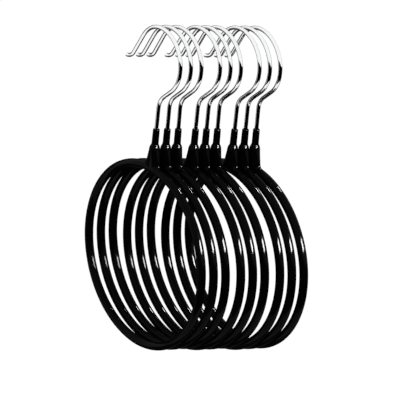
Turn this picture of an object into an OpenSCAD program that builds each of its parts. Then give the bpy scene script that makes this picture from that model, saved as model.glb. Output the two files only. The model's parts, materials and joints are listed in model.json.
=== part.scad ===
/* [Ring] */
// Diameter of the ring over its vinyl coat
ring_od = 115; // [90:1:150]
// Diameter of the steel wire in the ring
ring_wire_d = 3.2; // [2.6:0.1:4]
// Thickness of the vinyl on the ring wire
vinyl_t = 1; // [0.6:0.05:1.4]
// Centreline radius of the two bends that turn the wire ends upwards
tail_bend_r = 5; // [4:0.25:8]
// Gap between the two wire ends where they stand side by side
tail_gap = 0.2; // [0.1:0.05:0.6]
// Straight length of the wire ends above their bends
tail_len = 5.2; // [3:0.2:9]

/* [Swivel tube] */
// Diameter of the wire in the hook
hook_wire_d = 2.4; // [2:0.1:3]
// Clearance all round between the hook wire and the bore of the tube
swivel_play = 0.05; // [0.02:0.01:0.1]
// Wall of the neck of the tube
neck_wall = 0.4; // [0.3:0.05:0.6]
// Wall of the wide cup below the neck
cup_wall = 0.45; // [0.35:0.05:0.7]
// Length of the neck above the cup
neck_len = 10.5; // [6:0.5:16]
// Outer height of the cup
cup_len = 3.5; // [3:0.1:6]
// Thickness of the weld that closes the cup on the wire ends
weld_t = 0.8; // [0.4:0.1:1.4]

/* [Hook] */
// Diameter of the upset head that keeps the hook in the tube
head_d = 3.6; // [3.4:0.1:4.2]
// Thickness of the upset head
head_t = 1.2; // [0.8:0.1:1.8]
// Running gap above, below and around the head
head_play = 0.05; // [0.03:0.01:0.1]
// Bare straight wire between the top of the neck and the first bend
shank_len = 12.7; // [6:0.5:24]
// Centreline radius of the first bend
sway_r = 11.2; // [6:0.2:16]
// Angle through which the first bend leans the wire
sway_angle = 48; // [30:1:60]
// Straight length of the leaning wire
sway_len = 8.6; // [4:0.2:16]
// Centreline radius of the bow over the rail
bow_r = 19.7; // [14:0.1:30]
// Angle that the bow turns through after its crown
bow_front_angle = 60; // [45:1:75]
// Straight length of the front leg
leg_len = 15.3; // [6:0.1:24]
// Centreline radius of the curl at the tip
tip_r = 7.2; // [4:0.2:10]
// Angle that the curl turns through
tip_angle = 58; // [30:1:80]
// Bevel around the cut end of the tip
tip_bevel = 0.4; // [0.2:0.1:0.8]

/* [Collar] */
// Thickness of the vinyl around the cup
collar_t = 0.8; // [0.5:0.05:1.2]
// Thickness of the vinyl around the neck
neck_coat_t = 0.35; // [0.2:0.05:0.8]
// Height of the vinyl lip above the end of the tube
lip_h = 0.4; // [0.2:0.1:1]
// Half the width of the webbed foot of the collar along the ring
web_half_w = 9; // [7:0.5:14]
// Height of the webbed foot above the middle of the ring wire
web_h = 5.6; // [4:0.2:9]
// Vinyl outside the wire ends at the top of the webbed foot
web_side_t = 1.6; // [1:0.1:2.4]
// Height of the sloping shoulder between the collar and the neck
shoulder_h = 2.2; // [1.4:0.1:3.5]

/* [Row] */
// Angle between the ring planes and the square across the rail
skew = 26; // [0:1:32]
// Angle that the outer hangers of a bunch fan out by
fan = 0.6; // [0:0.1:1]
// Clear gap between the rings of one bunch, at their tops
ring_gap = 1.1; // [0.6:0.1:3]
// Clear gap between the rings of neighbouring bunches, at their bottoms
bunch_gap = 0.9; // [0.6:0.1:6]

/* [Hidden] */
// Hangers in the row, and in each bunch
HANGERS = 9;
BUNCH = 3;
PIECES = ["hook", "neck_tube", "ring_wire", "weld_bead", "vinyl_coat"];

$fn = 48;
hull_fn = 32;
slice = 0.01;
// Lengths of wire run into each other by this much, and every second one is thinner by the hair
embed = 0.05;
hair = 0.01;

// Heights here are measured from the middle of the ring
coat_d = ring_wire_d + 2 * vinyl_t;
ring_r = (ring_od - coat_d) / 2;
tail_y = (ring_wire_d + tail_gap) / 2;
bend_y = tail_y + tail_bend_r;
bend_z = sqrt(pow(ring_r + tail_bend_r, 2) - pow(bend_y, 2));
bend_angle = atan(bend_y / bend_z);
tail_top = bend_z + tail_len;
cup_bottom = tail_top + weld_t;
cup_top = cup_bottom + cup_len;
neck_top = cup_top + neck_len;
lip_top = neck_top + lip_h;

// Radii of the tube, the cup and the coat over them
bore_r = hook_wire_d / 2 + swivel_play;
neck_r = bore_r + neck_wall;
cup_bore_r = head_d / 2 + head_play;
cup_r = cup_bore_r + cup_wall;
collar_r = cup_r + collar_t;
coat_neck_r = neck_r + neck_coat_t;
lip_bore_r = bore_r + swivel_play;
head_top = cup_top - cup_wall - head_play;

// The sloping shoulder keeps half the collar's vinyl over the corner of the cup
shoulder_bottom = cup_top - shoulder_h * collar_t / (2 * (collar_r - coat_neck_r));
shoulder_top = shoulder_bottom + shoulder_h;

// Stages of the webbed foot: half widths along the ring and across it
web_bottom = ring_r - vinyl_t / 2;
web_top = ring_r + web_h;
web_top_half_w = tail_y + ring_wire_d / 2 + web_side_t;
web_bottom_half_t = 0.9 * coat_d / 2;
web_top_half_t = coat_d / 2;

// Corners and centres of the hook, as [away from the tip, up] from the shank's first bend
lean = [sin(sway_angle), cos(sway_angle)];
lean_left = [-cos(sway_angle), sin(sway_angle)];
bend_top = lip_top + shank_len;
sway_start = [0, bend_top];
sway_centre = sway_start + [sway_r, 0];
sway_end = sway_centre + sway_r * [-cos(sway_angle), sin(sway_angle)];
bow_start = sway_end + sway_len * lean;
bow_centre = bow_start + bow_r * lean_left;
crown = bow_centre + [0, bow_r];
leg_angle = 90 + bow_front_angle;
leg_start = bow_centre + bow_r * [cos(leg_angle), sin(leg_angle)];
leg_dir = [-sin(leg_angle), cos(leg_angle)];
tip_start = leg_start + leg_len * leg_dir;
tip_centre = tip_start + tip_r * [cos(leg_angle), sin(leg_angle)];
tip_end_angle = leg_angle - 180 - tip_angle;

// The origin is the underside of the crown of the middle hook, where the rail touches it
drop = crown[1] - hook_wire_d / 2;
shank_y = crown[0];

// Pitches that keep the fanned rings and the collars clear of each other
top_spread = (drop - ring_r) * sin(fan);
bottom_spread = (drop + ring_r) * sin(fan);
ring_pitch = (coat_d + ring_gap - top_spread) / cos(skew);
collar_pitch = 2 * collar_r + ring_gap / 2 - (drop - cup_top) * sin(fan);
hook_pitch = max(ring_pitch, collar_pitch);
bunch_step = (coat_d + bunch_gap + 2 * bottom_spread) / cos(skew);
bunch_pitch = (BUNCH - 1) * hook_pitch + bunch_step;
rail_dir = [cos(skew), -sin(skew), 0];

// Place of a hanger in its bunch, from -1 to 1, and of its bunch in the row
function seat(k) = (k - 1) % BUNCH - 1;
function bunch(k) = floor((k - 1) / BUNCH) - 1;
function along(k) = bunch(k) * bunch_pitch + seat(k) * hook_pitch;

// Puts a hanger drawn around the middle of its ring on the rail
module hang(k) {
    translate(along(k) * rail_dir)
        rotate([0, -fan * seat(k), 0])
            translate([0, shank_y, -drop])
                children();
}

// Turns a flat drawing upright, its x away from the tip and its y up
module upright() {
    rotate([90, 0, -90])
        children();
}

// A bent length of round wire, and the same a hair thinner and let into both its neighbours
module wire_arc(centre, r, from, sweep, d) {
    translate(centre)
        rotate(from)
            rotate_extrude(angle = sweep, $fn = 72)
                translate([r, 0])
                    circle(d = d, $fn = 24);
}

module wire_arc_let_in(centre, r, from, sweep, d) {
    more = sign(sweep) * embed * 180 / (PI * r);
    wire_arc(centre, r, from - more, sweep + 2 * more, d - hair);
}

// A straight length of round wire that is let into both its neighbours
module wire_run_let_in(start, angle, length, d) {
    translate(start)
        rotate([-90, 0, angle])
            translate([0, 0, -embed])
                cylinder(h = length + 2 * embed, d = d - hair);
}

// A thin oval slice of the collar
module oval(z, half_w, half_t) {
    translate([0, 0, z])
        scale([half_t, half_w, 1])
            cylinder(r = 1, h = slice, $fn = hull_fn);
}

module hook_shape() {
    translate([0, 0, head_top - head_t])
        cylinder(h = head_t, d = head_d);
    translate([0, 0, head_top - embed])
        cylinder(h = bend_top - head_top + 2 * embed, d = hook_wire_d - hair);
    upright() {
        wire_arc(sway_centre, sway_r, 180, -sway_angle, hook_wire_d);
        wire_run_let_in(sway_end, -sway_angle, sway_len, hook_wire_d);
        wire_arc(bow_centre, bow_r, -sway_angle, leg_angle + sway_angle, hook_wire_d);
        wire_run_let_in(leg_start, leg_angle, leg_len, hook_wire_d);
        wire_arc(tip_centre, tip_r, leg_angle - 180, -tip_angle, hook_wire_d);
        tip_bevel_shape();
    }
}

// The bevelled cut end of the wire
module tip_bevel_shape() {
    end = tip_centre + tip_r * [cos(tip_end_angle), sin(tip_end_angle)];
    translate(end)
        rotate([-90, 0, tip_end_angle + 180])
            translate([0, 0, -embed])
                cylinder(h = tip_bevel + embed, d1 = hook_wire_d - hair, d2 = hook_wire_d - 2 * tip_bevel);
}

// The steel loop, its ends bent up side by side
module ring_wire_shape() {
    upright() {
        wire_arc([0, 0], ring_r, 90 + bend_angle, 360 - 2 * bend_angle, ring_wire_d);
        for (side = [-1, 1]) {
            wire_arc_let_in([side * bend_y, bend_z], tail_bend_r, 90 + side * 90,
                side * (90 - bend_angle), ring_wire_d);
            translate([side * tail_y, bend_z])
                rotate([-90, 0, 0])
                    cylinder(h = tail_len, d = ring_wire_d);
        }
    }
}

module weld_bead_shape() {
    translate([0, 0, tail_top])
        cylinder(h = weld_t, r = cup_r);
}

// Outside of the drawn tube: a cup with a narrower neck
module neck_tube_outer() {
    translate([0, 0, cup_bottom])
        cylinder(h = cup_len, r = cup_r);
    translate([0, 0, cup_top - cup_wall])
        cylinder(h = neck_len + cup_wall, r = neck_r);
}

module neck_tube_shape() {
    difference() {
        neck_tube_outer();
        translate([0, 0, cup_bottom - 1])
            cylinder(h = cup_len - cup_wall + 1, r = cup_bore_r);
        translate([0, 0, cup_bottom])
            cylinder(h = cup_len + neck_len + 1, r = bore_r);
    }
}

// Outside of the dipped skin: ring, webbed foot, collar, shoulder and neck
module coat_outer() {
    upright()
        wire_arc([0, 0], ring_r, 0, 360, coat_d);
    hull() {
        oval(web_bottom, web_half_w, web_bottom_half_t);
        oval(web_top, web_top_half_w, web_top_half_t);
    }
    hull() {
        oval(web_top - 5 * embed, web_top_half_w - embed, web_top_half_t - embed);
        oval(shoulder_bottom + embed / 2, collar_r - embed, collar_r - embed);
    }
    rotate_extrude()
        polygon([
            [0, shoulder_bottom],
            [collar_r, shoulder_bottom],
            [coat_neck_r, shoulder_top],
            [coat_neck_r, lip_top],
            [0, lip_top]
        ]);
}

module vinyl_coat_shape() {
    difference() {
        coat_outer();
        ring_wire_shape();
        weld_bead_shape();
        neck_tube_outer();
        translate([0, 0, neck_top - slice])
            cylinder(h = lip_h + 1, r = lip_bore_r);
    }
}

module hook(k) {
    color("silver")
        hang(k)
            hook_shape();
}

module neck_tube(k) {
    color("darkkhaki")
        hang(k)
            neck_tube_shape();
}

module ring_wire(k) {
    color("slategray")
        hang(k)
            ring_wire_shape();
}

module weld_bead(k) {
    color("dimgray")
        hang(k)
            weld_bead_shape();
}

module vinyl_coat(k) {
    color([0.03, 0.03, 0.035])
        hang(k)
            vinyl_coat_shape();
}

for (k = [1:HANGERS]) {
    hook(k);
    neck_tube(k);
    ring_wire(k);
    weld_bead(k);
    vinyl_coat(k);
}
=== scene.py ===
"""A row of ring hangers for ties: black vinyl-dipped rings that swivel under chromed hooks."""

import json
import math

import bpy
import numpy as np
from mathutils import Matrix, Vector


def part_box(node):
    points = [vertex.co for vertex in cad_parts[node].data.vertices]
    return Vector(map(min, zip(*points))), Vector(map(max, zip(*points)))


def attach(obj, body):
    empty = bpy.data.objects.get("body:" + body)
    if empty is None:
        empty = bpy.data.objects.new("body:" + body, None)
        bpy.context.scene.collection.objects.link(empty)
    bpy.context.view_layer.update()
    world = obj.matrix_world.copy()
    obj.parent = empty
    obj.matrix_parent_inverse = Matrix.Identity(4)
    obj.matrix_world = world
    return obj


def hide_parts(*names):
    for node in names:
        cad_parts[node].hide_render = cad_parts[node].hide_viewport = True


bl_info = {
    "name": "Ring Tie Hangers",
    "version": (1, 0, 0),
    "blender": (4, 5, 0),
    "location": "3D View > Sidebar > Hangers",
    "description": "Chromed hooks and vinyl-dipped rings around a packed frame",
    "category": "Object",
}

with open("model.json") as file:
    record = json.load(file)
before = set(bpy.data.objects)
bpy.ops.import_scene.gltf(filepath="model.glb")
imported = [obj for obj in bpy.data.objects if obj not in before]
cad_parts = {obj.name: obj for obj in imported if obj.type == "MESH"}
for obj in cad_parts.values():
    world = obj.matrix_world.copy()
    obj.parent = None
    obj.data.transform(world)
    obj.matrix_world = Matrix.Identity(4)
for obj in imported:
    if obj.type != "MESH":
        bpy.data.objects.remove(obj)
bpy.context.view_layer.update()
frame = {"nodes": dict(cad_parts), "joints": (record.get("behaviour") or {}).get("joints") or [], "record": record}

MM = 0.001
HANGERS = range(1, 10)
MIDDLE = 5

# The middle coat's box gives the ring, as its collar is narrower than the ring is wide
COAT_LOW, COAT_HIGH = (Vector(corner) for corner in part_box(f"vinyl_coat_{MIDDLE}"))
RING_OD = COAT_HIGH.y - COAT_LOW.y
RING_CENTRE = Vector((0, (COAT_LOW.y + COAT_HIGH.y) / 2, COAT_LOW.z + RING_OD / 2))
LIP_TOP = COAT_HIGH.z
WIRE_LOW, WIRE_HIGH = (Vector(corner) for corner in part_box(f"ring_wire_{MIDDLE}"))
TAIL_TOP = WIRE_HIGH.z
BEAD_LOW, BEAD_HIGH = (Vector(corner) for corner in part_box(f"weld_bead_{MIDDLE}"))
CUP_D = BEAD_HIGH.x - BEAD_LOW.x
HEAD_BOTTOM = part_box(f"hook_{MIDDLE}")[0][2]

SKIN_GROUP = "vinyl_skins"


class HangerSizes(bpy.types.PropertyGroup):
    """Sizes of one hanger, as the frame has them."""

    wire_d: bpy.props.FloatProperty(
        name="Hook wire", description="Diameter of the hook wire", default=2.4 * MM, unit="LENGTH")
    head_d: bpy.props.FloatProperty(
        name="Hook head", description="Diameter of the upset head", default=3.6 * MM, unit="LENGTH")
    head_t: bpy.props.FloatProperty(
        name="Head thickness", description="Height of the upset head",
        default=1.2 * MM, unit="LENGTH")
    shank_len: bpy.props.FloatProperty(
        name="Bare shank", description="Straight wire above the collar",
        default=12.7 * MM, unit="LENGTH")
    sway_r: bpy.props.FloatProperty(
        name="Sway radius", description="Radius of the first bend", default=11.2 * MM, unit="LENGTH")
    sway_angle: bpy.props.FloatProperty(
        name="Sway", description="Lean of the wire after the first bend",
        default=math.radians(48), subtype="ANGLE")
    sway_len: bpy.props.FloatProperty(
        name="Sway length", description="Straight leaning wire", default=8.6 * MM, unit="LENGTH")
    bow_r: bpy.props.FloatProperty(
        name="Bow radius", description="Radius of the bow", default=19.7 * MM, unit="LENGTH")
    bow_front: bpy.props.FloatProperty(
        name="Bow front", description="Turn of the bow after its crown",
        default=math.radians(60), subtype="ANGLE")
    leg_len: bpy.props.FloatProperty(
        name="Front leg", description="Straight front leg", default=15.3 * MM, unit="LENGTH")
    tip_r: bpy.props.FloatProperty(
        name="Tip radius", description="Radius of the curl at the tip", default=7.2 * MM, unit="LENGTH")
    tip_angle: bpy.props.FloatProperty(
        name="Tip curl", description="Turn of the curl", default=math.radians(58), subtype="ANGLE")
    tip_bevel: bpy.props.FloatProperty(
        name="Tip bevel", description="Rounding of the cut end", default=0.4 * MM, unit="LENGTH")
    coat_d: bpy.props.FloatProperty(
        name="Coated wire", description="Diameter of the ring over its vinyl",
        default=5.2 * MM, unit="LENGTH")
    collar_d: bpy.props.FloatProperty(
        name="Collar", description="Diameter of the collar under its shoulder",
        default=CUP_D + 1.6 * MM, unit="LENGTH")
    neck_d: bpy.props.FloatProperty(
        name="Neck", description="Diameter of the coated neck", default=4 * MM, unit="LENGTH")
    collar_top: bpy.props.FloatProperty(
        name="Collar top", description="Height of the shoulder's foot above the wire ends",
        default=3.5 * MM, unit="LENGTH")
    shoulder_h: bpy.props.FloatProperty(
        name="Shoulder", description="Height of the slope from collar to neck",
        default=2.2 * MM, unit="LENGTH")
    web_half_w: bpy.props.FloatProperty(
        name="Webbed foot", description="Half width of the collar's foot on the ring",
        default=9 * MM, unit="LENGTH")
    bore_play: bpy.props.FloatProperty(
        name="Bore play", description="Space between the hook wire and the lip around it",
        default=0.11 * MM, unit="LENGTH")
    sag: bpy.props.FloatProperty(
        name="Sag", description="Thickening of the skin at the bottom of the ring",
        default=0.1 * MM, unit="LENGTH")
    voxel: bpy.props.FloatProperty(
        name="Skin mesh", description="Mesh size of the dipped skin",
        default=0.4 * MM, unit="LENGTH")


class HangerFinishes(bpy.types.PropertyGroup):
    """Colours and gloss of the finishes."""

    vinyl: bpy.props.FloatVectorProperty(
        name="Vinyl", description="Colour of the dipped vinyl",
        default=(0.0008, 0.0008, 0.0009), subtype="COLOR")
    vinyl_rough: bpy.props.FloatProperty(
        name="Vinyl roughness", description="Roughness of the vinyl", default=0.06, min=0, max=1)
    chrome: bpy.props.FloatVectorProperty(
        name="Chrome", description="Colour of the chrome plate",
        default=(0.94, 0.945, 0.95), subtype="COLOR")
    chrome_rough: bpy.props.FloatProperty(
        name="Chrome roughness", description="Roughness of the chrome", default=0.05, min=0, max=1)


class StudioSettings(bpy.types.PropertyGroup):
    """Camera and lights."""

    azimuth: bpy.props.FloatProperty(
        name="Azimuth", description="Camera turn about the row",
        default=math.radians(-39.6), subtype="ANGLE")
    elevation: bpy.props.FloatProperty(
        name="Elevation", description="Camera height angle", default=math.radians(22.7), subtype="ANGLE")
    roll: bpy.props.FloatProperty(
        name="Roll", description="Camera roll", default=math.radians(5.35), subtype="ANGLE")
    lens: bpy.props.FloatProperty(
        name="Lens", description="Focal length in millimetres", default=360)
    ambient: bpy.props.FloatProperty(
        name="Ambient", description="Strength of the world on dull surfaces", default=1.0, min=0)


# Placing hangers on the rail


def joint_axis(name):
    """The axis of a joint of the frame."""
    joint = next(j for j in frame["joints"] if j["name"] == name)
    return Vector(joint["axis"])


def rail_seat(k):
    """The point where hanger k's hook rests on the rail."""
    mount = next(m for m in frame["record"]["mounts"] if m["name"] == f"rail_seat_{k}")
    return Vector(mount["pos_m"])


def hanger_matrix(k):
    """Carries a hanger drawn at the middle of the row to its own place and fan angle."""
    up = -joint_axis(f"swivel_{k}")
    turn = Vector((0, 0, 1)).rotation_difference(up).to_matrix().to_4x4()
    return Matrix.Translation(rail_seat(k)) @ turn


# Modelling helpers


def deselect():
    """Leaves nothing selected."""
    bpy.ops.object.select_all(action="DESELECT")


def only(obj):
    """Makes obj the one selected and active object."""
    deselect()
    obj.select_set(True)
    bpy.context.view_layer.objects.active = obj


def apply_modifier(obj, kind, **settings):
    """Adds a modifier with these settings and applies it."""
    only(obj)
    modifier = obj.modifiers.new(kind.lower(), kind)
    for name, value in settings.items():
        setattr(modifier, name, value)
    bpy.ops.object.modifier_apply(modifier=modifier.name)


def copy_model(model, name):
    """A copy of the model, with its own mesh."""
    piece = model.copy()
    piece.data = model.data.copy()
    piece.name = name
    piece.data.name = name
    bpy.context.collection.objects.link(piece)
    return piece


class WirePen:
    """Bends wire: pushes the selected ring of edges on along the wire's middle line."""

    def __init__(self, start):
        self.at = Vector(start)
        self.lean = 0.0

    def heading(self):
        """The direction in which the wire runs on."""
        return Vector((0, -math.sin(self.lean), math.cos(self.lean)))

    def run(self, length, steps=1):
        """Straight wire."""
        for _ in range(steps):
            step = self.heading() * (length / steps)
            bpy.ops.mesh.extrude_region_move(TRANSFORM_OT_translate={"value": step})
            self.at += step

    def swell(self, factor):
        """Scales the ring of edges about the middle line."""
        bpy.ops.transform.resize(value=(factor,) * 3, center_override=self.at)

    def bend(self, radius, angle, steps):
        """Wire bent in the plane of the ring, with this radius on its middle line."""
        inward = Vector((0, -math.cos(self.lean), -math.sin(self.lean))) * math.copysign(1, angle)
        centre = self.at + radius * inward
        bpy.ops.mesh.spin(steps=steps, angle=-angle, center=centre, axis=(1, 0, 0))
        self.at = centre + Matrix.Rotation(angle, 3, "X") @ (self.at - centre)
        self.lean += angle


# Shader node groups


def new_group(name, inputs, outputs):
    """A shader node group with float or colour sockets and its two end nodes."""
    group = bpy.data.node_groups.new(name, "ShaderNodeTree")
    for label, kind, default in inputs:
        socket = group.interface.new_socket(label, in_out="INPUT", socket_type=kind)
        socket.default_value = default
    for label, kind in outputs:
        group.interface.new_socket(label, in_out="OUTPUT", socket_type=kind)
    start = group.nodes.new("NodeGroupInput")
    end = group.nodes.new("NodeGroupOutput")
    return group, start, end


def place(tree, kind, x, y, **settings):
    """A node at a place in the tree, with these settings."""
    node = tree.nodes.new(kind)
    node.location = (x, y)
    for name, value in settings.items():
        setattr(node, name, value)
    return node


def handling_marks():
    """Smudges that change the roughness, and a fine height for the grain under them."""
    group, start, end = new_group(
        "Handling marks",
        [("Roughness", "NodeSocketFloat", 0.1), ("Smudge", "NodeSocketFloat", 0.05),
         ("Scale", "NodeSocketFloat", 60.0), ("Grain", "NodeSocketFloat", 24.0)],
        [("Roughness", "NodeSocketFloat"), ("Height", "NodeSocketFloat")])
    links = group.links
    start.location = (-700, 0)
    end.location = (500, 0)
    coordinates = place(group, "ShaderNodeTexCoord", -500, 300)
    smudges = place(group, "ShaderNodeTexNoise", -250, 250)
    smudges.inputs["Detail"].default_value = 4
    grain = place(group, "ShaderNodeTexNoise", -250, -50)
    grain.inputs["Detail"].default_value = 2
    finer = place(group, "ShaderNodeMath", -500, -100, operation="MULTIPLY")
    spread = place(group, "ShaderNodeMapRange", 0, 250)
    spread.inputs["From Min"].default_value = 0.4
    spread.inputs["From Max"].default_value = 0.65
    soften = place(group, "ShaderNodeMath", 250, 150, operation="MULTIPLY_ADD")
    links.new(coordinates.outputs["Object"], smudges.inputs["Vector"])
    links.new(coordinates.outputs["Object"], grain.inputs["Vector"])
    links.new(start.outputs["Scale"], smudges.inputs["Scale"])
    links.new(start.outputs["Scale"], finer.inputs[0])
    links.new(start.outputs["Grain"], finer.inputs[1])
    links.new(finer.outputs["Value"], grain.inputs["Scale"])
    links.new(smudges.outputs["Fac"], spread.inputs["Value"])
    links.new(spread.outputs["Result"], soften.inputs[0])
    links.new(start.outputs["Smudge"], soften.inputs[1])
    links.new(start.outputs["Roughness"], soften.inputs[2])
    links.new(soften.outputs["Value"], end.inputs["Roughness"])
    links.new(grain.outputs["Fac"], end.inputs["Height"])
    return group


def two_tones():
    """A slow drift between two close colours."""
    group, start, end = new_group(
        "Two tones",
        [("Main", "NodeSocketColor", (0.5, 0.5, 0.5, 1)),
         ("Other", "NodeSocketColor", (0.4, 0.4, 0.4, 1)),
         ("Scale", "NodeSocketFloat", 40.0)],
        [("Color", "NodeSocketColor")])
    links = group.links
    start.location = (-700, 0)
    end.location = (400, 0)
    coordinates = place(group, "ShaderNodeTexCoord", -700, 250)
    drift = place(group, "ShaderNodeTexNoise", -400, 200)
    drift.inputs["Detail"].default_value = 3
    mix = place(group, "ShaderNodeMix", 0, 100, data_type="RGBA")
    links.new(coordinates.outputs["Object"], drift.inputs["Vector"])
    links.new(start.outputs["Scale"], drift.inputs["Scale"])
    links.new(drift.outputs["Fac"], mix.inputs["Factor"])
    links.new(start.outputs["Main"], mix.inputs["A"])
    links.new(start.outputs["Other"], mix.inputs["B"])
    links.new(mix.outputs["Result"], end.inputs["Color"])
    return group


def group_named(name, make):
    """The node group of this name, made the first time it is asked for."""
    return bpy.data.node_groups.get(name) or make()


def finish_material(name, tones, marks, bump, constants):
    """A Principled finish with two tones, handling marks and a fine bump."""
    material = bpy.data.materials.new(name)
    material.use_nodes = True
    tree = material.node_tree
    shader = tree.nodes["Principled BSDF"]
    colour = place(tree, "ShaderNodeGroup", -700, 200, node_tree=group_named("Two tones", two_tones))
    for label, value in tones.items():
        colour.inputs[label].default_value = (*value, 1)
    wear = place(
        tree, "ShaderNodeGroup", -700, -100, node_tree=group_named("Handling marks", handling_marks))
    for label, value in marks.items():
        wear.inputs[label].default_value = value
    relief = place(tree, "ShaderNodeBump", -350, -250)
    relief.inputs["Strength"].default_value = bump
    relief.inputs["Distance"].default_value = 0.02 * MM
    tree.links.new(colour.outputs["Color"], shader.inputs["Base Color"])
    tree.links.new(wear.outputs["Roughness"], shader.inputs["Roughness"])
    tree.links.new(wear.outputs["Height"], relief.inputs["Height"])
    tree.links.new(relief.outputs["Normal"], shader.inputs["Normal"])
    for label, value in constants.items():
        shader.inputs[label].default_value = value
    return material


def shade(colour, factor):
    """The same colour, lighter or darker."""
    return [factor * channel for channel in colour]


def chrome_material(finishes):
    """Bright chrome plate with faint finger marks."""
    return finish_material(
        "Chrome plate",
        tones={"Main": finishes.chrome, "Other": shade(finishes.chrome, 0.93)},
        marks={"Roughness": finishes.chrome_rough, "Smudge": 0.03, "Scale": 70, "Grain": 20},
        bump=0.05, constants={"Metallic": 1})


def vinyl_material(finishes):
    """Glossy black vinyl, a little duller where it has been handled."""
    return finish_material(
        "Dipped black vinyl",
        tones={"Main": finishes.vinyl, "Other": shade(finishes.vinyl, 2)},
        marks={"Roughness": finishes.vinyl_rough, "Smudge": 0.03, "Scale": 60, "Grain": 16},
        bump=0.02, constants={"Specular IOR Level": 0.03})


def steel_material(_finishes):
    """Grey drawn steel."""
    return finish_material(
        "Drawn steel wire",
        tones={"Main": (0.5, 0.51, 0.52), "Other": (0.4, 0.41, 0.42)},
        marks={"Roughness": 0.35, "Smudge": 0.15, "Scale": 90, "Grain": 24},
        bump=0.4, constants={"Metallic": 1})


def tube_material(_finishes):
    """Drawn brass tube."""
    return finish_material(
        "Drawn brass tube",
        tones={"Main": (0.68, 0.56, 0.33), "Other": (0.58, 0.45, 0.24)},
        marks={"Roughness": 0.3, "Smudge": 0.15, "Scale": 90, "Grain": 24},
        bump=0.3, constants={"Metallic": 1})


def weld_material(_finishes):
    """Dark, rough weld metal."""
    return finish_material(
        "Weld bead",
        tones={"Main": (0.2, 0.2, 0.21), "Other": (0.1, 0.09, 0.09)},
        marks={"Roughness": 0.55, "Smudge": 0.2, "Scale": 200, "Grain": 10},
        bump=0.8, constants={"Metallic": 1})


# Models of one hanger

# Waves round the ring and their depths, and how far the sag reaches in radians
SWELLS = ((3, 0.012 * MM), (7, 0.012 * MM), (13, 0.008 * MM), (29, 0.005 * MM))
SAG_SPREAD = 0.25
SKIN_SEED = 100

# Distances from the middle of the collar between which the web blends into the true ring
BLEND_START = 11 * MM
BLEND_END = 15 * MM


def hook_model(sizes):
    """The hook of the middle hanger, bent from one length of wire."""
    wire_r = sizes.wire_d / 2
    head_r = sizes.head_d / 2
    edge = 0.15 * MM
    foot = Vector((0, RING_CENTRE.y, HEAD_BOTTOM))
    deselect()
    bpy.ops.mesh.primitive_circle_add(
        vertices=32, radius=head_r - edge, fill_type="NOTHING", location=foot)
    hook = bpy.context.active_object
    hook.name = "hook_model"
    bpy.ops.object.transform_apply(location=True, rotation=False, scale=False)
    bpy.ops.object.mode_set(mode="EDIT")
    bpy.ops.mesh.select_all(action="SELECT")
    pen = WirePen(foot)
    pen.run(edge)
    pen.swell(head_r / (head_r - edge))
    pen.run(sizes.head_t - 2 * edge)
    pen.run(edge)
    pen.swell((head_r - edge) / head_r)
    pen.run(0)
    pen.swell(wire_r / (head_r - edge))
    pen.run(LIP_TOP + sizes.shank_len - pen.at.z, steps=6)
    pen.bend(sizes.sway_r, sizes.sway_angle, steps=12)
    pen.run(sizes.sway_len, steps=3)
    pen.bend(sizes.bow_r, -sizes.sway_angle - math.pi / 2 - sizes.bow_front, steps=54)
    pen.run(sizes.leg_len, steps=4)
    pen.bend(sizes.tip_r, sizes.tip_angle, steps=14)
    tip_steps = (0.35, 0.35, 0.3)
    for share in tip_steps:
        before = wire_r - sizes.tip_bevel * (1 - share)
        pen.run(share * sizes.tip_bevel)
        pen.swell(before / (before + 0.33 * sizes.tip_bevel))
    bpy.ops.mesh.edge_face_add()
    bpy.ops.mesh.select_all(action="DESELECT")
    bpy.ops.mesh.select_non_manifold()
    bpy.ops.mesh.edge_face_add()
    bpy.ops.mesh.select_all(action="SELECT")
    bpy.ops.mesh.normals_make_consistent(inside=False)
    bpy.ops.object.mode_set(mode="OBJECT")
    bpy.ops.object.shade_smooth_by_angle(angle=math.radians(35))
    return hook


def collar_stages(sizes):
    """Stages of the collar from its foot up: height, half width along the ring, half thickness."""
    ring_top = RING_CENTRE.z + (RING_OD - sizes.coat_d) / 2
    half_t = sizes.coat_d / 2
    collar_r = sizes.collar_d / 2
    neck_r = sizes.neck_d / 2
    half_tail_gap = 0.1 * MM
    tail_half_w = WIRE_HIGH.x - WIRE_LOW.x + half_tail_gap
    shoulder = TAIL_TOP + sizes.collar_top
    mid_slope_r = 0.55 * (collar_r + neck_r)
    return [
        (ring_top - 0.5 * MM, sizes.web_half_w + 0.5 * MM, 0.9 * half_t),
        (ring_top + 1.4 * MM, sizes.web_half_w - 1.6 * MM, half_t),
        (ring_top + 3.2 * MM, sizes.web_half_w - 3.1 * MM, half_t),
        (ring_top + 5.6 * MM, tail_half_w + 2.1 * MM, half_t + 0.05 * MM),
        (ring_top + 9.5 * MM, tail_half_w + 1.0 * MM, half_t + 0.25 * MM),
        (shoulder - 0.5 * MM, collar_r + 0.12 * MM, collar_r + 0.1 * MM),
        (shoulder, collar_r + 0.02 * MM, collar_r + 0.02 * MM),
        (shoulder + sizes.shoulder_h / 2, mid_slope_r, mid_slope_r),
        (shoulder + sizes.shoulder_h, neck_r + 0.12 * MM, neck_r + 0.12 * MM),
        (LIP_TOP - 1.2 * MM, neck_r + 0.04 * MM, neck_r + 0.04 * MM),
        (LIP_TOP + 0.05 * MM, neck_r, neck_r),
    ]


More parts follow.
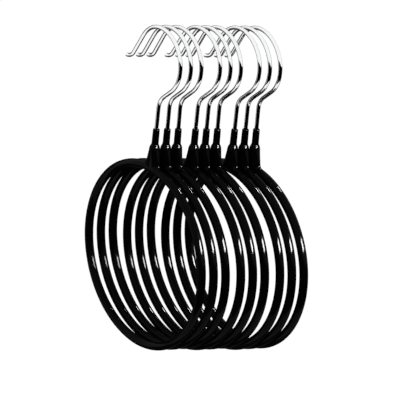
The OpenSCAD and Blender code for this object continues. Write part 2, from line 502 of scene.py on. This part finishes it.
def collar_model(sizes):
    """The collar drawn up stage by stage from its foot on the ring."""
    stages = collar_stages(sizes)
    height, half_w, half_t = stages[0]
    deselect()
    bpy.ops.mesh.primitive_circle_add(
        vertices=48, radius=1, fill_type="NGON", location=(0, RING_CENTRE.y, height))
    collar = bpy.context.active_object
    collar.scale = (half_t, half_w, 1)
    bpy.ops.object.transform_apply(location=True, rotation=False, scale=True)
    bpy.ops.object.mode_set(mode="EDIT")
    bpy.ops.mesh.select_all(action="SELECT")
    for next_height, next_w, next_t in stages[1:]:
        rise = Vector((0, 0, next_height - height))
        bpy.ops.mesh.extrude_region_move(TRANSFORM_OT_translate={"value": rise})
        bpy.ops.transform.resize(
            value=(next_t / half_t, next_w / half_w, 1),
            center_override=(0, RING_CENTRE.y, next_height))
        height, half_w, half_t = next_height, next_w, next_t
    bpy.ops.mesh.select_all(action="SELECT")
    bpy.ops.mesh.normals_make_consistent(inside=False)
    bpy.ops.object.mode_set(mode="OBJECT")
    return collar


def coat_model(sizes):
    """The dipped skin: ring and collar joined, remeshed and smoothed into one flowing form."""
    deselect()
    bpy.ops.mesh.primitive_torus_add(
        location=RING_CENTRE, rotation=(0, math.pi / 2, 0), major_segments=180, minor_segments=32,
        major_radius=(RING_OD - sizes.coat_d) / 2, minor_radius=sizes.coat_d / 2)
    coat = bpy.context.active_object
    coat.name = "coat_model"
    bpy.ops.object.transform_apply(location=True, rotation=True, scale=True)
    collar = collar_model(sizes)
    only(coat)
    collar.select_set(True)
    bpy.ops.object.join()
    coat.data.remesh_voxel_size = sizes.voxel
    bpy.ops.object.voxel_remesh()
    apply_modifier(coat, "SMOOTH", factor=0.5, iterations=10)
    return coat


def settle_skin(coat, sizes, k):
    """Rounds the ring to its true section, with the slow swells and bottom sag of a dipped skin."""
    ring_r = (RING_OD - sizes.coat_d) / 2
    count = len(coat.data.vertices)
    points = np.empty(count * 3)
    coat.data.vertices.foreach_get("co", points)
    points = points.reshape(count, 3)
    local = points - np.array(RING_CENTRE)
    angle = np.arctan2(local[:, 1], local[:, 2])
    middle = np.stack([np.zeros(count), ring_r * np.sin(angle), ring_r * np.cos(angle)], axis=1)
    out = local - middle
    section_r = np.linalg.norm(out, axis=1, keepdims=True)
    rng = np.random.default_rng(SKIN_SEED + k)
    swell = np.zeros(count)
    for waves, depth in SWELLS:
        phase = rng.uniform(0, 2 * math.pi)
        swell += depth * np.sin(waves * angle + phase)
    sag = sizes.sag * np.exp(-((np.abs(angle) - math.pi) / SAG_SPREAD) ** 2)
    true_r = sizes.coat_d / 2 + swell + sag * np.maximum(0, -out[:, 2] / section_r[:, 0])
    share = np.clip((np.abs(local[:, 1]) - BLEND_START) / (BLEND_END - BLEND_START), 0, 1)
    share[local[:, 2] < 0] = 1
    share = (share * share * (3 - 2 * share))[:, None]
    rounded = middle + out / section_r * true_r[:, None]
    settled = local * (1 - share) + rounded * share + np.array(RING_CENTRE)
    coat.data.vertices.foreach_set("co", settled.ravel())
    coat.data.update()


def bore_lip(coat, sizes):
    """Opens the top of the neck around the hook wire."""
    depth = 4 * MM
    deselect()
    bpy.ops.mesh.primitive_cylinder_add(
        vertices=32, radius=sizes.wire_d / 2 + sizes.bore_play, depth=2 * depth,
        location=(0, RING_CENTRE.y, LIP_TOP))
    drill = bpy.context.active_object
    bpy.ops.object.transform_apply(location=True, rotation=False, scale=False)
    apply_modifier(coat, "BOOLEAN", operation="DIFFERENCE", solver="EXACT", object=drill)
    bpy.data.objects.remove(drill)


# Operators


class HANGER_OT_chrome_hooks(bpy.types.Operator):
    """Bend the chromed hooks"""

    bl_idname = "hanger.chrome_hooks"
    bl_label = "Chromed hooks"

    def execute(self, context):
        model = hook_model(context.scene.hanger_sizes)
        model.data.materials.append(chrome_material(context.scene.hanger_finishes))
        for k in HANGERS:
            hook = copy_model(model, f"chromed_hook_{k}")
            hook.data.transform(hanger_matrix(k))
            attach(hook, f"hook_{k}")
            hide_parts(f"hook_{k}")
        bpy.data.objects.remove(model)
        return {"FINISHED"}


class HANGER_OT_vinyl_skins(bpy.types.Operator):
    """Dip the rings and collars in vinyl"""

    bl_idname = "hanger.vinyl_skins"
    bl_label = "Vinyl skins"

    def execute(self, context):
        sizes = context.scene.hanger_sizes
        group = bpy.data.collections.new(SKIN_GROUP)
        model = coat_model(sizes)
        bore_lip(model, sizes)
        only(model)
        bpy.ops.object.shade_smooth_by_angle(angle=math.radians(50))
        model.data.materials.append(vinyl_material(context.scene.hanger_finishes))
        for k in HANGERS:
            skin = copy_model(model, f"dipped_skin_{k}")
            settle_skin(skin, sizes, k)
            skin.data.transform(hanger_matrix(k))
            group.objects.link(skin)
            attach(skin, f"ring_{k}")
            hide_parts(f"vinyl_coat_{k}")
        bpy.data.objects.remove(model)
        return {"FINISHED"}


class HANGER_OT_inner_metal(bpy.types.Operator):
    """Finish the wire, tube and weld inside each skin"""

    bl_idname = "hanger.inner_metal"
    bl_label = "Inner metal"

    def execute(self, context):
        makers = {"ring_wire": steel_material, "neck_tube": tube_material, "weld_bead": weld_material}
        for kind, make in makers.items():
            material = make(context.scene.hanger_finishes)
            for k in HANGERS:
                node = frame["nodes"][f"{kind}_{k}"]
                node.data.materials.clear()
                node.data.materials.append(material)
        return {"FINISHED"}


# The studio

IMAGE_PX = 400
SENSOR = 36
PHOTO_SCALE = 0.591 * MM
RING_CENTRE_PX = Vector((194.9, 254.0))
FLOOR_Z = -0.75
FLOOR_SIZE = 40
CARD_DISTANCE = 3
LAMP_DISTANCE = 1.5
WHITE = (1, 1, 1, 1)

# The black card is a wedge, its half angle in degrees. It widens to the left and to the front,
# and ends at this share of the way to the back.
WEDGE_ANGLE = 17
WEDGE_TAPER = 6
WEDGE_BACK = 0.5

# The grey card lies round the sight and reaches further down and to the left, in degrees
SIGHT_REACH = 57
REACH_DOWN = 18
REACH_LEFT = 10


def camera_axes(settings):
    """The camera's right, up and back directions, rolled as the photograph is."""
    a, e, roll = settings.azimuth, settings.elevation, settings.roll
    back = Vector((math.sin(a) * math.cos(e), -math.cos(a) * math.cos(e), math.sin(e)))
    level = Vector((math.cos(a), math.sin(a), 0))
    upright = back.cross(level)
    right = level * math.cos(roll) + upright * math.sin(roll)
    return right, back.cross(right), back


def add_camera(settings):
    """The camera that sees the middle ring where the photograph shows it."""
    right, up, back = camera_axes(settings)
    distance = PHOTO_SCALE * settings.lens / SENSOR * IMAGE_PX
    shift = RING_CENTRE_PX - Vector((IMAGE_PX / 2, IMAGE_PX / 2))
    target = RING_CENTRE - PHOTO_SCALE * (shift.x * right - shift.y * up)
    turn = Matrix((right, up, back)).transposed().to_4x4()
    bpy.ops.object.camera_add()
    camera = bpy.context.active_object
    camera.name = "photo_camera"
    camera.matrix_world = Matrix.Translation(target + distance * back) @ turn
    camera.data.lens = settings.lens
    camera.data.sensor_width = SENSOR
    camera.data.clip_end = 100
    bpy.context.scene.camera = camera


def add_lamp(name, direction, width, height, radiance):
    """A lamp that looks at the middle of the set and only puts highlights on the vinyl."""
    aim = RING_CENTRE * 0.6
    direction = Vector(direction).normalized()
    bpy.ops.object.light_add(type="AREA", location=aim + LAMP_DISTANCE * direction)
    lamp = bpy.context.active_object
    lamp.name = name
    lamp.rotation_euler = direction.to_track_quat("Z", "Y").to_euler()
    lamp.data.shape = "RECTANGLE"
    lamp.data.size = width
    lamp.data.size_y = height
    lamp.data.energy = radiance * math.pi * width * height
    lamp.visible_camera = False
    lamp.visible_diffuse = False
    lamp.light_linking.receiver_collection = bpy.data.collections[SKIN_GROUP]


def studio_world(settings):
    """White to the camera and in reflections, and a plain soft level on dull surfaces."""
    world = bpy.data.worlds.new("studio_world")
    bpy.context.scene.world = world
    world.use_nodes = True
    tree = world.node_tree
    tree.nodes.clear()
    path = place(tree, "ShaderNodeLightPath", -600, 200)
    seen = place(tree, "ShaderNodeMath", -350, 200, operation="MAXIMUM")
    seen_too = place(tree, "ShaderNodeMath", -150, 200, operation="MAXIMUM")
    soft = place(tree, "ShaderNodeBackground", -150, 0)
    soft.inputs["Strength"].default_value = settings.ambient
    white = place(tree, "ShaderNodeBackground", -150, -150)
    mix = place(tree, "ShaderNodeMixShader", 100, 50)
    end = place(tree, "ShaderNodeOutputWorld", 300, 50)
    soft.inputs["Color"].default_value = WHITE
    white.inputs["Color"].default_value = WHITE
    tree.links.new(path.outputs["Is Camera Ray"], seen.inputs[0])
    tree.links.new(path.outputs["Is Glossy Ray"], seen.inputs[1])
    tree.links.new(seen.outputs["Value"], seen_too.inputs[0])
    tree.links.new(path.outputs["Is Transmission Ray"], seen_too.inputs[1])
    tree.links.new(seen_too.outputs["Value"], mix.inputs["Fac"])
    tree.links.new(soft.outputs["Background"], mix.inputs[1])
    tree.links.new(white.outputs["Background"], mix.inputs[2])
    tree.links.new(mix.outputs["Shader"], end.inputs["Surface"])


def floor_material():
    """A pale floor that glows a little, so it looks white and still shows a shadow."""
    material = bpy.data.materials.new("Pale floor")
    material.use_nodes = True
    tree = material.node_tree
    tree.nodes.clear()
    dull = place(tree, "ShaderNodeBsdfDiffuse", -300, 100)
    dull.inputs["Color"].default_value = (0.35, 0.35, 0.35, 1)
    path = place(tree, "ShaderNodeLightPath", -700, -100)
    seen = place(tree, "ShaderNodeMath", -500, -100, operation="MAXIMUM")
    glow = place(tree, "ShaderNodeEmission", -300, -100)
    glow_share = place(tree, "ShaderNodeMath", -400, -250, operation="MULTIPLY")
    glow_share.inputs[1].default_value = 0.66
    both = place(tree, "ShaderNodeAddShader", 0, 0)
    end = place(tree, "ShaderNodeOutputMaterial", 200, 0)
    tree.links.new(path.outputs["Is Camera Ray"], seen.inputs[0])
    tree.links.new(path.outputs["Is Glossy Ray"], seen.inputs[1])
    tree.links.new(seen.outputs["Value"], glow_share.inputs[0])
    tree.links.new(glow_share.outputs["Value"], glow.inputs["Strength"])
    tree.links.new(dull.outputs["BSDF"], both.inputs[0])
    tree.links.new(glow.outputs["Emission"], both.inputs[1])
    tree.links.new(both.outputs["Shader"], end.inputs["Surface"])
    return material


def card_material(name, level):
    """A card of one even grey."""
    material = bpy.data.materials.new(name)
    material.use_nodes = True
    tree = material.node_tree
    tree.nodes.clear()
    glow = place(tree, "ShaderNodeEmission", -200, 0)
    glow.inputs["Color"].default_value = (level, level, level, 1)
    end = place(tree, "ShaderNodeOutputMaterial", 0, 0)
    tree.links.new(glow.outputs["Emission"], end.inputs["Surface"])
    return material


def add_card(name, level, keep):
    """The part of a large ball round the hooks whose directions keep() picks, seen in gloss only."""
    deselect()
    bpy.ops.mesh.primitive_uv_sphere_add(segments=180, ring_count=90, radius=CARD_DISTANCE)
    card = bpy.context.active_object
    card.name = name
    bpy.ops.object.mode_set(mode="EDIT")
    bpy.ops.mesh.select_mode(type="FACE")
    bpy.ops.mesh.select_all(action="DESELECT")
    bpy.ops.object.mode_set(mode="OBJECT")
    for face in card.data.polygons:
        face.select = not keep(face.center.normalized())
    bpy.ops.object.mode_set(mode="EDIT")
    bpy.ops.mesh.delete(type="FACE")
    bpy.ops.mesh.select_mode(type="VERT")
    bpy.ops.object.mode_set(mode="OBJECT")
    card.data.materials.append(card_material(name, level))
    card.visible_camera = False
    card.visible_diffuse = False
    card.visible_shadow = False


class HANGER_OT_studio(bpy.types.Operator):
    """Set up the floor, the lights and the camera"""

    bl_idname = "hanger.studio"
    bl_label = "Studio"

    def execute(self, context):
        settings = context.scene.hanger_studio
        deselect()
        bpy.ops.mesh.primitive_plane_add(size=FLOOR_SIZE, location=(0, 0, FLOOR_Z))
        floor = bpy.context.active_object
        floor.name = "pale_floor"
        bpy.ops.object.transform_apply(location=True, rotation=False, scale=False)
        floor.data.materials.append(floor_material())
        floor.visible_glossy = False
        right, up, back = camera_axes(settings)
        sight = -back

        def in_wedge(d):
            half_angle = math.radians(WEDGE_ANGLE - WEDGE_TAPER * d.dot(right))
            spread = math.tan(half_angle) * (sight.y - d.y)
            return d.y < WEDGE_BACK and abs(d.z - sight.z) < spread

        def round_sight(d):
            reach = SIGHT_REACH - REACH_DOWN * d.dot(up) - REACH_LEFT * d.dot(right)
            return d.angle(sight) < math.radians(reach)

        add_card("black_card", level=0.0, keep=in_wedge)
        add_card("grey_card", level=0.06, keep=round_sight)
        studio_world(settings)
        add_lamp(
            "side_lamp", direction=(0.25, -0.895, 0.3665), width=0.9, height=0.32, radiance=450)
        add_lamp(
            "top_lamp", direction=(0.588, 0.077, 0.80), width=0.16, height=0.16, radiance=560)
        add_camera(settings)
        context.scene.view_settings.view_transform = "Standard"
        return {"FINISHED"}


class HANGER_PT_panel(bpy.types.Panel):
    """The steps that make the hangers"""

    bl_label = "Ring Tie Hangers"
    bl_idname = "HANGER_PT_panel"
    bl_space_type = "VIEW_3D"
    bl_region_type = "UI"
    bl_category = "Hangers"

    def draw(self, context):
        for operator in OPERATORS:
            self.layout.operator(operator.bl_idname)


GROUPS = {
    "hanger_sizes": HangerSizes,
    "hanger_finishes": HangerFinishes,
    "hanger_studio": StudioSettings,
}
OPERATORS = (
    HANGER_OT_chrome_hooks,
    HANGER_OT_vinyl_skins,
    HANGER_OT_inner_metal,
    HANGER_OT_studio,
)


def register():
    for name, group in GROUPS.items():
        bpy.utils.register_class(group)
        setattr(bpy.types.Scene, name, bpy.props.PointerProperty(type=group))
    for operator in OPERATORS:
        bpy.utils.register_class(operator)
    bpy.utils.register_class(HANGER_PT_panel)


def unregister():
    bpy.utils.unregister_class(HANGER_PT_panel)
    for operator in reversed(OPERATORS):
        bpy.utils.unregister_class(operator)
    for name, group in GROUPS.items():
        delattr(bpy.types.Scene, name)
        bpy.utils.unregister_class(group)


def main():
    register()
    bpy.ops.hanger.chrome_hooks()
    bpy.ops.hanger.vinyl_skins()
    bpy.ops.hanger.inner_metal()
    bpy.ops.hanger.studio()


if __name__ == "__main__":
    main()
